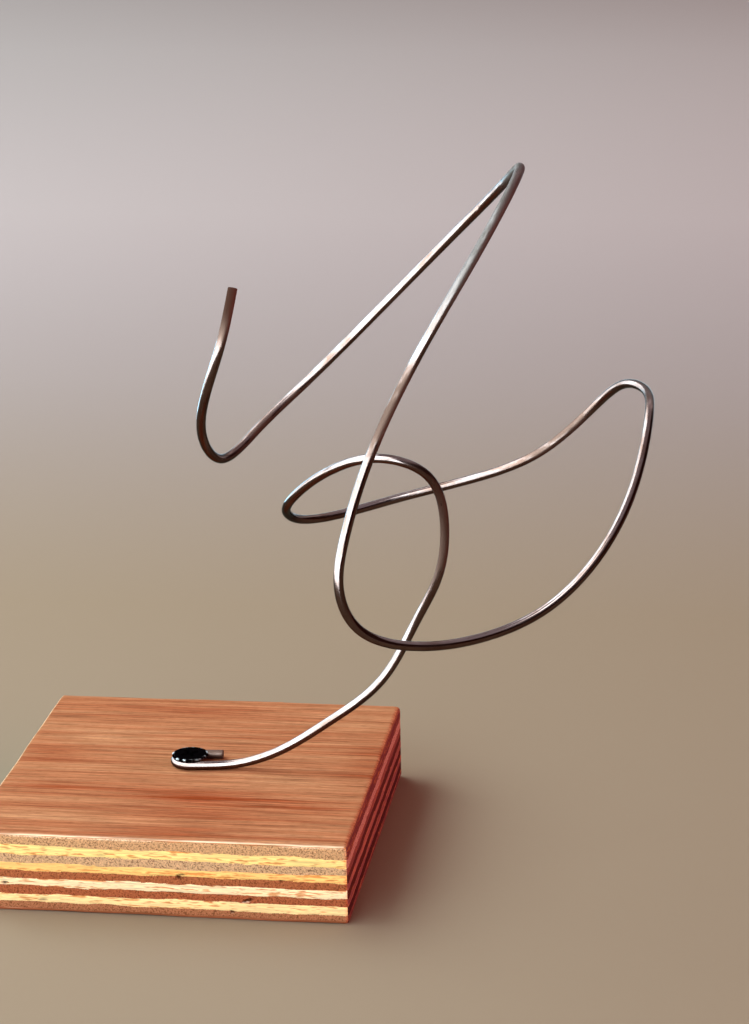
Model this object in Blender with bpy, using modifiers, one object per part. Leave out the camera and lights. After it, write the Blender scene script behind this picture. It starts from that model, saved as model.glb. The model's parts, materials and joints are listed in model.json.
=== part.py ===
"""Wire sculpture: one bent steel wire, clamped by a black screw on a square plywood plinth.

Metres, +Z up. The origin is the middle of the plinth's underside, with +X to the right along the
plinth's front edge and +Y towards its back.
"""

import math

import bmesh
import bpy
import numpy as np

MM = 0.001

# Fitting gap between pieces that rest on or clamp one another.
GAP = 0.3 * MM

# Plinth: a square sawn from 18 mm plywood, its arrises eased by hand.
PLINTH_SIDE = 82.5 * MM
PLINTH_THICKNESS = 18.0 * MM
ARRIS_RADIUS = 1.0 * MM
ARRIS_SEGMENTS = 3

# Wire: round steel, cut square at both ends.
WIRE_RADIUS = 1.0 * MM
WIRE_BEVEL_RESOLUTION = 3
WIRE_STEP = 3.0 * MM
WIRE_LEAST_STEPS = 3

# Screw: flat-headed, driven into the middle of the plinth with the wire hooked round its shank.
SCREW_X = -1.0 * MM
SCREW_Y = 0.5 * MM
SCREW_LENGTH = 16.0 * MM
SHANK_RADIUS = 2.1 * MM
HEAD_RADIUS = 4.05 * MM
HEAD_RIM = 0.4 * MM
POINT_LENGTH = 4.5 * MM
FLARE_STEPS = 6
TURNED_STEPS = 32
RECESS_SPAN = 4.6 * MM
RECESS_WIDTH = 1.15 * MM
RECESS_DEPTH = 2.2 * MM
RECESS_TAPER = 0.4
RECESS_LIFT = 0.05 * MM
HOLE_EXTRA_DEPTH = 1.0 * MM

# Hook: half a turn round the shank, lying flat on the plinth, with a short cut tail at the back.
HOOK_RADIUS = SHANK_RADIUS + GAP + WIRE_RADIUS
HOOK_TILT = math.radians(5.0)
HOOK_STEPS = 12
TAIL_LENGTH = 7.0 * MM
TAIL_STEPS = 3
WIRE_REST_HEIGHT = PLINTH_THICKNESS + GAP + WIRE_RADIUS

# The bent route after the hook, in millimetres from the origin: places chosen by hand, one or more
# at each bend and along the open curves between them. The first two lie along the wood; the rest
# are kept to half a millimetre. The wire leaves the plinth to the right and climbs, turns one
# small loop, runs out at the back, drops round a wide bowl that hangs in front, climbs to the
# peak, folds over and comes down to the left.
ROUTE_MM = (
    # off the plinth and up
    (4.0, -2.4, 19.3),
    (9.0, -1.5, 19.4),
    (20.0, -2.0, 23.0),
    (31.5, -2.0, 30.5),
    (43.0, -1.0, 40.0),
    (51.0, 0.0, 54.0),
    (56.0, -2.0, 64.5),
    # the small loop
    (58.0, -5.0, 79.0),
    (54.0, -10.0, 91.0),
    (45.5, -11.5, 94.0),
    (36.0, -8.0, 91.0),
    (26.0, 0.0, 83.0),
    (21.5, 7.0, 76.5),
    (23.0, 16.0, 71.5),
    # out at the back and over the right-hand crest
    (43.5, 31.0, 72.5),
    (61.5, 34.0, 77.0),
    (75.0, 34.0, 83.0),
    (89.0, 32.0, 96.0),
    (95.5, 24.0, 102.0),
    (99.5, 17.0, 102.5),
    (101.0, 6.0, 100.0),
    # down and round the bowl
    (99.0, -9.0, 89.5),
    (92.5, -22.0, 77.5),
    (81.0, -31.0, 67.5),
    (67.5, -38.0, 63.5),
    (57.0, -44.0, 64.0),
    (46.0, -49.0, 69.0),
    (42.5, -51.0, 78.0),
    (43.5, -49.0, 88.0),
    # the long climb to the peak
    (49.5, -41.0, 107.0),
    (59.0, -37.0, 126.0),
    (70.0, -32.0, 145.0),
    # the fold at the peak
    (75.5, -14.0, 156.0),
    (70.0, 3.0, 149.5),
    (59.5, 13.0, 138.0),
    # back down to the left, round the last turn and up to the cut end
    (42.0, 16.0, 120.0),
    (25.0, 11.0, 103.5),
    (16.5, 2.0, 96.0),
    (11.0, -9.0, 92.5),
    (9.0, -17.0, 98.0),
    (9.5, -22.0, 104.5),
    (16.0, -29.0, 123.5),
    (18.0, -26.0, 133.5),
)


def clear_scene():
    for obj in list(bpy.data.objects):
        bpy.data.objects.remove(obj, do_unlink=True)


def new_collection(name):
    collection = bpy.data.collections.new(name)
    bpy.context.scene.collection.children.link(collection)
    return collection


def principled(name, color, roughness, metallic=0.0):
    material = bpy.data.materials.new(name)
    material.use_nodes = True
    shader = material.node_tree.nodes["Principled BSDF"]
    shader.inputs["Base Color"].default_value = (*color, 1.0)
    shader.inputs["Roughness"].default_value = roughness
    shader.inputs["Metallic"].default_value = metallic
    return material


def add_object(name, data, collection, parent=None):
    obj = bpy.data.objects.new(name, data)
    obj.parent = parent
    collection.objects.link(obj)
    return obj


def as_cutter(obj):
    """Keeps a helper out of the render, so that it only cuts."""
    obj.hide_render = True
    obj.display_type = "WIRE"
    return obj


def subtract(obj, cutter):
    boolean = obj.modifiers.new(cutter.name, "BOOLEAN")
    boolean.operation = "DIFFERENCE"
    boolean.solver = "EXACT"
    boolean.object = cutter


def turned(name, profile, collection, parent):
    """A solid of revolution about Z from (radius, height) points, running down its outer side."""
    mesh = bpy.data.meshes.new(name)
    edges = [(i, i + 1) for i in range(len(profile) - 1)]
    mesh.from_pydata([(radius, 0.0, height) for radius, height in profile], edges, [])
    obj = add_object(name, mesh, collection, parent)
    turn = obj.modifiers.new("Turn", "SCREW")
    turn.steps = TURNED_STEPS
    turn.render_steps = TURNED_STEPS
    turn.use_merge_vertices = True
    turn.merge_threshold = 0.01 * MM
    turn.use_smooth_shade = True
    return obj


def route_tangents(points, chords, first_direction):
    """Slopes at the points of the cubic that passes through them with no break in its bend."""
    system = np.eye(len(points))
    slopes = np.zeros_like(points)
    slopes[0] = first_direction
    for i in range(1, len(points) - 1):
        before, after = chords[i - 1], chords[i]
        system[i, i - 1 : i + 2] = after, 2 * (before + after), before
        rise = after / before * (points[i] - points[i - 1])
        run = before / after * (points[i + 1] - points[i])
        slopes[i] = 3 * (rise + run)
    system[-1, -2:] = 1, 2
    slopes[-1] = 3 * (points[-1] - points[-2]) / chords[-1]
    return np.linalg.solve(system, slopes)


def smooth_route(points, first_direction):
    """Points along a smooth curve through the route's own points, without the first of them."""
    points = np.array(points)
    chords = np.linalg.norm(np.diff(points, axis=0), axis=1)
    slopes = route_tangents(points, chords, first_direction)
    samples = []
    for i, chord in enumerate(chords):
        steps = max(WIRE_LEAST_STEPS, math.ceil(chord / WIRE_STEP))
        for t in np.arange(1, steps + 1) / steps:
            start = (1 + 2 * t) * (1 - t) ** 2 * points[i] + t**2 * (3 - 2 * t) * points[i + 1]
            turn = t * (1 - t) ** 2 * slopes[i] - t**2 * (1 - t) * slopes[i + 1]
            samples.append(start + chord * turn)
    return samples


def hook_points():
    """The cut tail and the half turn round the screw, ending where the free route begins."""
    along = np.array([math.cos(HOOK_TILT), math.sin(HOOK_TILT), 0.0])
    centre = np.array([SCREW_X, SCREW_Y, WIRE_REST_HEIGHT])
    arc = []
    for step in range(HOOK_STEPS + 1):
        angle = HOOK_TILT + math.pi / 2 + math.pi * step / HOOK_STEPS
        arc.append(centre + HOOK_RADIUS * np.array([math.cos(angle), math.sin(angle), 0.0]))
    tail = [arc[0] + TAIL_LENGTH * step / TAIL_STEPS * along for step in range(TAIL_STEPS, 0, -1)]
    return tail + arc, along


def make_plinth(collection, cutters, parent):
    bpy.ops.mesh.primitive_cube_add(size=1.0)
    plinth = bpy.context.object
    plinth.name = "plywood_plinth"
    plinth.scale = (PLINTH_SIDE, PLINTH_SIDE, PLINTH_THICKNESS)
    bpy.ops.object.transform_apply(location=False, rotation=False, scale=True)
    for linked in list(plinth.users_collection):
        linked.objects.unlink(plinth)
    collection.objects.link(plinth)
    plinth.location = (0.0, 0.0, PLINTH_THICKNESS / 2)
    plinth.parent = parent
    ease = plinth.modifiers.new("Eased arrises", "BEVEL")
    ease.width = ARRIS_RADIUS
    ease.segments = ARRIS_SEGMENTS

    hole_radius = SHANK_RADIUS + GAP
    tip = HEAD_RIM + GAP + 2 * WIRE_RADIUS + GAP - SCREW_LENGTH
    profile = [
        (0.0, HOLE_EXTRA_DEPTH),
        (hole_radius, HOLE_EXTRA_DEPTH),
        (hole_radius, tip + POINT_LENGTH - HOLE_EXTRA_DEPTH),
        (0.0, tip - HOLE_EXTRA_DEPTH),
    ]
    hole = as_cutter(turned("screw_hole_cutter", profile, cutters, parent))
    hole.location = (SCREW_X, SCREW_Y, PLINTH_THICKNESS)
    subtract(plinth, hole)
    plinth.data.materials.append(principled("Plywood", (0.55, 0.21, 0.085), 0.6))


def make_wire(collection, parent):
    hook, along = hook_points()
    route = [hook[-1]] + [np.array(point) * MM for point in ROUTE_MM]
    points = hook + smooth_route(route, along)
    curve = bpy.data.curves.new("bent_wire", "CURVE")
    curve.dimensions = "3D"
    curve.bevel_depth = WIRE_RADIUS
    curve.bevel_resolution = WIRE_BEVEL_RESOLUTION
    curve.use_fill_caps = True
    spline = curve.splines.new("POLY")
    spline.points.add(len(points) - 1)
    for point, place in zip(spline.points, points):
        point.co = (*place, 1.0)
    spline.use_smooth = True
    wire = add_object("bent_wire", curve, collection, parent)
    wire.data.materials.append(principled("Bright steel wire", (0.56, 0.53, 0.5), 0.18, 1.0))


def recess_wing(name, turn, cutters, screw):
    """One tapered wing of the cross recess, a narrow four-sided frustum set in the head's top."""
    shape = bmesh.new()
    bmesh.ops.create_cone(
        shape,
        cap_ends=True,
        segments=4,
        radius1=RECESS_TAPER / math.sqrt(2),
        radius2=1 / math.sqrt(2),
        depth=1.0,
    )
    quarter = math.pi / 4
    for vert in shape.verts:
        x, y, z = vert.co
        square_x = x * math.cos(quarter) - y * math.sin(quarter)
        square_y = x * math.sin(quarter) + y * math.cos(quarter)
        vert.co = (square_x * RECESS_SPAN, square_y * RECESS_WIDTH, (z - 0.5) * RECESS_DEPTH)
    mesh = bpy.data.meshes.new(name)
    shape.to_mesh(mesh)
    shape.free()
    wing = as_cutter(add_object(name, mesh, cutters, screw))
    wing.rotation_euler.z = turn
    return wing


def make_screw(collection, cutters, parent):
    """The screw's heights are measured from the plinth's top, where its object's origin is."""
    wire_middle = GAP + WIRE_RADIUS
    under_head = wire_middle + WIRE_RADIUS + GAP
    head_top = under_head + HEAD_RIM
    tip = head_top - SCREW_LENGTH
    flare_radius = WIRE_RADIUS + GAP
    profile = [(0.0, head_top), (HEAD_RADIUS, head_top), (HEAD_RADIUS, under_head)]
    for step in range(FLARE_STEPS + 1):
        angle = math.pi / 2 * (1 + step / FLARE_STEPS)
        radius = HOOK_RADIUS + flare_radius * math.cos(angle)
        profile.append((radius, wire_middle + flare_radius * math.sin(angle)))
    profile += [(SHANK_RADIUS, tip + POINT_LENGTH), (0.0, tip)]
    screw = turned("fixing_screw", profile, collection, parent)
    screw.location = (SCREW_X, SCREW_Y, PLINTH_THICKNESS)
    for name, turn in (("recess_cutter_a", math.pi / 5), ("recess_cutter_b", math.pi * 0.7)):
        wing = recess_wing(name, turn, cutters, screw)
        wing.location.z = head_top + RECESS_LIFT
        subtract(screw, wing)
    screw.data.materials.append(principled("Black phosphated steel", (0.012, 0.012, 0.014), 0.4))


def main():
    clear_scene()
    parts = new_collection("Wire sculpture")
    cutters = new_collection("Cutters")
    base = add_object("sculpture_origin", None, parts)
    make_plinth(parts, cutters, base)
    make_wire(parts, base)
    make_screw(parts, cutters, base)


main()
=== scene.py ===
"""Wire sculpture: a bent steel wire held by a black screw on its plywood plinth, finished for show.

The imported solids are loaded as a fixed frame, in metres with +Z up and the origin in the middle of
the plinth's underside. Each operator builds one finished piece in the place of its plain solid.
"""

import json
import math

import bpy
import numpy as np
from bpy.props import FloatProperty, FloatVectorProperty, PointerProperty
from mathutils import Matrix, Vector, noise

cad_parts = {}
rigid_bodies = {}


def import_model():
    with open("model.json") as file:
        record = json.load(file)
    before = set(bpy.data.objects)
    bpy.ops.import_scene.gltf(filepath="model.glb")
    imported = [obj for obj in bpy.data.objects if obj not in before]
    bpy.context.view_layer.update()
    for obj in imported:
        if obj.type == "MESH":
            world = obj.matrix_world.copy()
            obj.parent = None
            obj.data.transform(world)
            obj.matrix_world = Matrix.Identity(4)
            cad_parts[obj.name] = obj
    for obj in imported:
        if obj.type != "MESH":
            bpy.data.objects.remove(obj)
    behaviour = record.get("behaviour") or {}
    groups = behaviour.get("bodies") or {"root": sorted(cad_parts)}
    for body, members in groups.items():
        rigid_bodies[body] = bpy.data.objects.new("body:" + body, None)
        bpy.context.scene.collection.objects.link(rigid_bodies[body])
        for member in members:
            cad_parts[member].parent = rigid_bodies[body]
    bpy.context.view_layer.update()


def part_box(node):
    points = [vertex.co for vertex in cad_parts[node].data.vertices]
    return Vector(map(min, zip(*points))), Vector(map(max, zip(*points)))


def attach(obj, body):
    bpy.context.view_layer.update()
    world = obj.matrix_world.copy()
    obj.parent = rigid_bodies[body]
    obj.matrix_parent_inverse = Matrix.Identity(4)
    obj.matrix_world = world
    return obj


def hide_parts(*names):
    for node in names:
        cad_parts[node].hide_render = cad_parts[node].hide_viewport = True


bl_info = {
    "name": "Wire Sculpture",
    "version": (1, 0, 0),
    "blender": (4, 5, 0),
    "location": "View3D > Sidebar > Wire Sculpture",
    "description": "Builds a sculpture of one bent steel wire screwed to a plywood plinth",
    "category": "Add Mesh",
}

for leftover in list(bpy.data.objects):
    bpy.data.objects.remove(leftover, do_unlink=True)
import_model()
PLINTH_LOW, PLINTH_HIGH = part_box("plywood_plinth")
SCREW_LOW, SCREW_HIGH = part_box("fixing_screw")

MM = 0.001

# Plies of the board from the face down: the depth of each one's lower face at the left and at the
# right end of the front edge in millimetres, its colour on the front and back edges, where the
# odd plies show long grain, and its colour on the left and right edges, where the even ones do.
# The edge colours hold painted shade besides the grain: they are the plies darkened for the shaded
# right edge, darker towards the bottom, and the lowest one's is a painted contact shadow along the
# floor.
PLIES = (
    (0.5, 0.5, "C08A5A", "70443E"),
    (2.6, 3.1, "CEAA7A", "643A36"),
    (4.8, 5.0, "FFEE98", "A8806F"),
    (6.7, 6.8, "CEB084", "76463E"),
    (8.3, 8.4, "FFDA84", "4A2826"),
    (10.4, 10.2, "A86842", "86544A"),
    (12.0, 12.2, "FFF6C2", "442422"),
    (13.8, 13.8, "A86440", "764842"),
    (15.7, 15.8, "FFEEA8", "3C2020"),
    (17.35, 17.4, "A87450", "643C36"),
    (18.0, 18.0, "9C6040", "301A1A"),
)

# Rows of faces within a ply, closer together at the glue lines.
PLY_ROWS = (0.0, 0.07, 0.28, 0.5, 0.72, 0.93)

# How deep the saw and the sandpaper left each place, in millimetres: the face on average, an edge
# at the least, what long grain adds to that on average and end grain twice over, and the groove
# along a glue line, whose half width is a share of a ply.
FACE_HOLLOW = 0.012
EDGE_HOLLOW = 0.03
GRAIN_HOLLOW = 0.02
GLUE_GROOVE = 0.05
GLUE_HALF_WIDTH = 0.09

# The screw's hole: the squares of the face that it replaces reach this far from its middle, its
# wall is (radius, height above the face) downwards, and it ends in a point. All in millimetres.
HOLE_REACH = 3.0
HOLE_WALL = ((2.35, 0.0), (2.2, -0.15), (2.15, -0.5), (2.15, -12.0), (1.2, -15.0))
HOLE_TIP = -16.0

# Distances from the corner, in millimetres, of the first grid lines over a rounded arris.
ARRIS_LINES = (0.0, 0.1, 0.25, 0.45, 0.7, 1.0, 1.4, 1.9)
GRID_STEP = 0.6 * MM

# Gouges and torn spots in the front edge: across and up in millimetres, half length, half width,
# lean in degrees, and depth in millimetres, which also sets how dark the spot is: that darkness is
# painted shade in the hollow.
EDGE_FLAWS = (
    (4.8, 9.4, 0.36, 0.8, 4.0, 0.5),
    (5.6, 10.0, 0.7, 0.25, 0.0, 0.35),
    (19.6, 4.7, 1.2, 0.28, 20.0, 0.5),
    (16.1, 1.9, 0.6, 0.3, -10.0, 0.4),
    (26.9, 9.4, 0.5, 0.3, 0.0, 0.35),
    (-33.3, 6.4, 0.8, 0.3, 5.0, 0.4),
    (-12.0, 13.6, 1.6, 0.22, 2.0, 0.25),
    (33.5, 12.0, 1.2, 0.25, -3.0, 0.25),
    (-25.0, 2.9, 1.4, 0.25, 1.0, 0.3),
)

# Soft patches in the face, redder where the strength is positive and paler where it is negative:
# across and back in millimetres, half length, half width, lean in degrees and strength.
FACE_PATCHES = (
    (-27.0, -15.0, 14.0, 2.6, 2.0, 0.8),
    (4.0, -18.5, 16.0, 4.0, -6.0, 1.0),
    (8.0, -27.0, 18.0, 3.5, 0.0, 0.6),
    (2.0, -37.0, 16.0, 2.5, 3.0, 0.7),
    (27.0, -21.0, 10.0, 3.0, -12.0, 0.5),
    (-34.0, 3.0, 8.0, 5.0, 0.0, 0.5),
    (0.0, 33.0, 20.0, 3.5, 0.0, 0.5),
    (39.0, 6.0, 5.0, 16.0, 0.0, 0.4),
    (-25.0, 14.0, 10.0, 4.0, 0.0, -0.6),
    (33.0, 27.0, 9.0, 5.0, 0.0, -0.4),
    (20.0, -7.0, 12.0, 4.0, 0.0, -0.4),
    (-27.0, -31.0, 14.0, 3.5, 0.0, -0.5),
)

# The free route of the wire after its hook, in millimetres, the same as the solid's but resting
# on the wood where the solid stands a fitting gap above it.
ROUTE_MM = (
    # off the plinth and up
    (4.0, -2.4, 19.0),
    (9.0, -1.5, 19.15),
    (20.0, -2.0, 23.0),
    (31.5, -2.0, 30.5),
    (43.0, -1.0, 40.0),
    (51.0, 0.0, 54.0),
    (56.0, -2.0, 64.5),
    # the small loop
    (58.0, -5.0, 79.0),
    (54.0, -10.0, 91.0),
    (45.5, -11.5, 94.0),
    (36.0, -8.0, 91.0),
    (26.0, 0.0, 83.0),
    (21.5, 7.0, 76.5),
    (23.0, 16.0, 71.5),
    # out at the back and over the right-hand crest
    (43.5, 31.0, 72.5),
    (61.5, 34.0, 77.0),
    (75.0, 34.0, 83.0),
    (89.0, 32.0, 96.0),
    (95.5, 24.0, 102.0),
    (99.5, 17.0, 102.5),
    (101.0, 6.0, 100.0),
    # down and round the bowl
    (99.0, -9.0, 89.5),
    (92.5, -22.0, 77.5),
    (81.0, -31.0, 67.5),
    (67.5, -38.0, 63.5),
    (57.0, -44.0, 64.0),
    (46.0, -49.0, 69.0),
    (42.5, -51.0, 78.0),
    (43.5, -49.0, 88.0),
    # the long climb to the peak
    (49.5, -41.0, 107.0),
    (59.0, -37.0, 126.0),
    (70.0, -32.0, 145.0),
    # the fold at the peak
    (75.5, -14.0, 156.0),
    (70.0, 3.0, 149.5),
    (59.5, 13.0, 138.0),
    # back down to the left, round the last turn and up to the cut end
    (42.0, 16.0, 120.0),
    (25.0, 11.0, 103.5),
    (16.5, 2.0, 96.0),
    (11.0, -9.0, 92.5),
    (9.0, -17.0, 98.0),
    (9.5, -22.0, 104.5),
    (16.0, -29.0, 123.5),
    (18.0, -26.0, 133.5),
)
HOOK_RADIUS = 3.4 * MM
HOOK_TILT = math.radians(5.0)
TAIL_LENGTH = 7.0 * MM
ROUTE_STEPS = 40
HOOK_STEPS = 90
TAIL_STEPS = 40
RING_STEP = 0.33 * MM
WIRE_SIDES = 28
# Rings of a cut end, from the wire inwards: the share of the wire's radius and how far the ring
# stands out in millimetres. The shears leave a flat face with a narrow rounded lip.
CUT_RINGS = ((0.95, 0.07), (0.84, 0.12), (0.4, 0.13))

# Marks of the pliers: distance along the wire in millimetres, the side that it faces, half length
# along the wire in millimetres, half width in radians and depth in millimetres.
NICKS = (
    (138.8, (-0.2, -0.9, 0.4), 0.9, 0.5, 0.07),
    (250.3, (0.1, -1.0, -0.1), 0.9, 0.5, 0.08),
    (406.5, (-0.2, -0.9, 0.3), 1.4, 0.6, 0.12),
    (475.6, (-0.4, -0.7, 0.6), 0.7, 0.5, 0.09),
    (479.4, (-0.4, -0.6, 0.7), 0.7, 0.5, 0.09),
    (515.5, (-0.9, -0.4, 0.1), 0.6, 0.5, 0.1),
    (527.5, (-0.7, -0.7, 0.0), 0.6, 0.5, 0.1),
    (62.0, (0.3, -0.9, -0.3), 1.0, 0.5, 0.06),
    (328.0, (0.4, -0.8, -0.4), 1.0, 0.5, 0.06),
    (610.0, (-0.8, -0.5, 0.2), 0.8, 0.5, 0.07),
)

# Stretches browned and dulled: middle along the wire in millimetres, half length and strength.
# Handling rusted them, and they also carry painted shade and painted dark reflection where the
# wire looks darkest; the first is the painted shadow of the screw head over the tail.
BROWNED_AND_SHADED = (
    # painted shadow of the screw head over the tail
    (0.0, 8.0, 0.7),
    (107.0, 13.0, 0.6),
    (248.0, 10.0, 0.5),
    (437.0, 10.0, 0.7),
    (596.0, 14.0, 0.4),
    (663.0, 9.0, 1.0),
)
# Stretches with a film of grey scale, in the same terms: the wire's peak and the limb below it.
SCALED = ((479.0, 20.0, 0.75), (505.0, 11.0, 0.9))

# The screw's rim: (radius, height above the wood) in millimetres, from the middle of its top face
# to its underside.
RIM_PROFILE = (
    (0.0, 2.62),
    (2.8, 2.62),
    (3.55, 2.6),
    (3.85, 2.57),
    (3.98, 2.5),
    (4.05, 2.4),
    (4.05, 2.2),
    (3.98, 2.08),
    (3.85, 2.04),
)
# The band of the rim that rubbing has bared lies outside this radius and above this height.
RUBBED_RADIUS = 3.8
RUBBED_HEIGHT = 2.05
# Under the rim the head flares round the wire as a bugle head does: a quarter circle about the
# middle of the wire's section, then the neck.
FLARE_CENTRE = (3.4, 1.0)
FLARE_RADIUS = 1.03
FLARE_STEPS = 9
SHANK_CORE = 1.4
NECK_PROFILE = ((2.1, 0.5), (1.85, 0.0), (SHANK_CORE, -0.8))
# The thread fades in over its run-in. Its half width is a share of the pitch.
THREAD_CREST = 2.05
THREAD_PITCH = 1.8
THREAD_START = -1.0
THREAD_RUN_IN = 1.5
THREAD_HALF_WIDTH = 0.28
ROWS_PER_TURN = 12
SHANK_END = -9.4
SCREW_TIP = -13.4
TIP_STEPS = 24
SCREW_SIDES = 64
# Each wing of the cross recess going down: half length, half width and height in millimetres.
RECESS_LEVELS = ((2.3, 0.62, 2.9), (2.05, 0.52, 2.2), (1.1, 0.36, 1.0), (0.5, 0.25, 0.7))

# Camera, from the same frame.
CAMERA_PLACE = (129.3 * MM, -571.8 * MM, 256.4 * MM)
CAMERA_PITCH = math.radians(17.09)
CAMERA_YAW = math.radians(8.66)
CAMERA_ROLL = math.radians(-1.23)

# The floor is a disc.
FLOOR_RADIUS = 4.0
FLOOR_SIDES = 64

# Soft lights as (name, (azimuth in degrees, distance, height), (width, height), radiance, colour):
# softboxes that light the wood and the floor, and cards that only the metal reflects.
SOFTBOXES = (
    ("window_front", (-152, 0.95, 0.42), (1.1, 0.84), 3.95, "F4F7FF"),
    ("window_left", (-80, 0.7, 0.7), (1.0, 0.9), 4.8, "F4F7FF"),
    ("window_far_left", (-45, 1.9, 1.1), (1.6, 1.2), 3.0, "F4F8FF"),
    ("ceiling", (0, 0.0, 2.4), (2.6, 2.6), 0.16, "FFEEDD"),
    ("warm_surface_right", (97, 2.4, 0.58), (2.7, 1.1), 7.2, "FF9CA4"),
)
CARDS = (
    ("card_front", (-171, 0.32, 0.51), (0.4, 1.0), 24.0, "C4EAFF"),
    ("card_left", (-112, 0.32, 0.51), (0.36, 1.0), 24.0, "C4EAFF"),
    ("card_back_left", (-55, 0.32, 0.51), (0.38, 1.0), 24.0, "C0E8FF"),
    ("card_back_wall", (0, 0.45, 0.3), (0.9, 0.8), 2.2, "DCE6F0"),
    ("card_overhead", (0, 0.0, 1.05), (2.0, 2.0), 1.6, "D4E4FF"),
)


def linear(hex_colour):
    """A linear colour with full alpha from an sRGB hex value."""
    values = [int(hex_colour[i : i + 2], 16) / 255 for i in (0, 2, 4)]
    return (*(v / 12.92 if v <= 0.04045 else ((v + 0.055) / 1.055) ** 2.4 for v in values), 1.0)


def colour_setting(name, description, hex_colour):
    return FloatVectorProperty(
        name=name,
        description=description,
        default=linear(hex_colour),
        size=4,
        min=0.0,
        max=1.0,
        subtype="COLOR",
    )


def length_setting(name, description, default, least, most):
    return FloatProperty(
        name=name,
        description=description,
        default=default * MM,
        min=least * MM,
        max=most * MM,
        precision=4,
        unit="LENGTH",
        subtype="DISTANCE",
    )


class PlinthSettings(bpy.types.PropertyGroup):
    arris: length_setting(
        "Arris radius", "How far the plinth's corners were eased with sandpaper", 0.95, 0.2, 3.0
    )
    face: colour_setting("Face veneer", "Main colour of the red hardwood face", "BA8D63")
    streak: colour_setting("Dark grain", "Colour of the darker streaks in the face", "8E4626")
    stain: colour_setting("Edge stain", "Colour of the orange stains in the pale plies", "CC8440")


class WireSettings(bpy.types.PropertyGroup):
    radius: length_setting("Wire radius", "Half the thickness of the round wire", 1.0, 0.5, 2.0)
    bright: colour_setting("Bright steel", "Colour of the clean drawn steel", "614D46")
    # the browned colour also darkens the stretches that carry painted shade and dark reflection
    browned: colour_setting("Browned steel", "Colour where handling has browned the steel", "4C342A")


class ScrewSettings(bpy.types.PropertyGroup):
    recess_turn: FloatProperty(
        name="Recess turn",
        description="Which way the cross recess came to rest when the screw was tight",
        default=math.pi / 5,
        unit="ROTATION",
        subtype="ANGLE",
    )
    coating: colour_setting("Coating", "Colour of the black phosphate coating", "050405")


class StageSettings(bpy.types.PropertyGroup):
    floor: colour_setting("Floor", "Colour of the floor round the plinth", "8F866A")
    backdrop: colour_setting("Backdrop", "Colour that the floor turns to further back", "979793")
    lens: FloatProperty(
        name="Lens",
        description="Focal length of the camera in millimetres",
        default=98.26,
        min=20.0,
        max=300.0,
    )


def fill(tree, node, sockets):
    """Fills or links a node's input sockets. A node as a value stands for its first output in use."""
    for key, value in sockets.items():
        if isinstance(value, bpy.types.Node):
            value = next(output for output in value.outputs if output.enabled)
        if isinstance(value, bpy.types.NodeSocket):
            tree.links.new(value, node.inputs[key])
        else:
            node.inputs[key].default_value = value


def add_node(tree, kind, sockets=None, stops=None, **settings):
    """Adds a shader node, applies its settings and fills or links its input sockets."""
    node = tree.nodes.new("ShaderNode" + kind)
    for name, value in settings.items():
        setattr(node, name, value)
    fill(tree, node, sockets or {})
    for i, (position, colour) in enumerate(stops or ()):
        if i >= len(node.color_ramp.elements):
            node.color_ramp.elements.new(1.0)
        node.color_ramp.elements[i].position = position
        node.color_ramp.elements[i].color = colour
    return node


def new_material(name):
    material = bpy.data.materials.new(name)
    material.use_nodes = True
    return material, material.node_tree, material.node_tree.nodes["Principled BSDF"]


def dress(obj, material, node_name):
    """Gives a piece its material and puts it in the place of its solid."""
    obj.data.materials.append(material)
    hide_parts(node_name)
    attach(obj, "root")


def mesh_object(name, points, faces, smooth=True):
    mesh = bpy.data.meshes.new(name)
    mesh.from_pydata([tuple(p) for p in points], [], [tuple(int(i) for i in f) for f in faces])
    mesh.validate()
    mesh.polygons.foreach_set("use_smooth", [smooth] * len(mesh.polygons))
    mesh.update()
    obj = bpy.data.objects.new(name, mesh)
    bpy.context.scene.collection.objects.link(obj)
    return obj


def store(obj, name, kind, values):
    attribute = obj.data.attributes.new(name, kind, "POINT")
    key = "vector" if kind == "FLOAT_VECTOR" else "value"
    attribute.data.foreach_set(key, np.asarray(values, np.float32).ravel())


def ring_quads(first, second):
    """Quads between two rings of points, which are given by their indices."""
    pairs = [(k, (k + 1) % len(first)) for k in range(len(first))]
    return [(first[k], first[after], second[after], second[k]) for k, after in pairs]


# Plinth ------------------------------------------------------------------------------------------


def ply_depths(x, y):
    """Depths of the glue lines below a place on the board, one row for each line.

    They wave by up to 0.28 mm, and less next to the two faces.
    """
    across = (x - PLINTH_LOW.x) / (PLINTH_HIGH.x - PLINTH_LOW.x)
    rows = [np.zeros_like(x)]
    for i, (left, right, _, _) in enumerate(PLIES[:-1]):
        wave = 0.09 * np.sin(x / (11.0 * MM) + 2.3 * i) + 0.05 * np.sin(x / (3.7 * MM) + 4.1 * i)
        wave += 0.09 * np.sin(y / (9.0 * MM) + 1.7 * i) + 0.05 * np.sin(y / (4.3 * MM) + 2.9 * i)
        calm = 0.3 if i in (0, len(PLIES) - 2) else 1.0
        rows.append((left + (right - left) * across + calm * wave) * MM)
    rows.append(np.full_like(x, PLINTH_HIGH.z - PLINTH_LOW.z))
    return np.array(rows)


def grid_lines(low, high):
    """Grid lines across a side, closer together over the rounded arrises."""
    near = np.array(ARRIS_LINES) * MM
    count = round((high - low - 2 * near[-1]) / GRID_STEP)
    middle = np.linspace(low + near[-1], high - near[-1], count + 1)[1:-1]
    return np.concatenate((low + near, middle, high - near[::-1]))


def ply_lines():
    """Grid lines down an edge as ply coordinates, whole at the glue lines."""
    rows = [ply + row for ply in range(len(PLIES)) for row in PLY_ROWS]
    return np.array(rows + [len(PLIES)])


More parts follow.
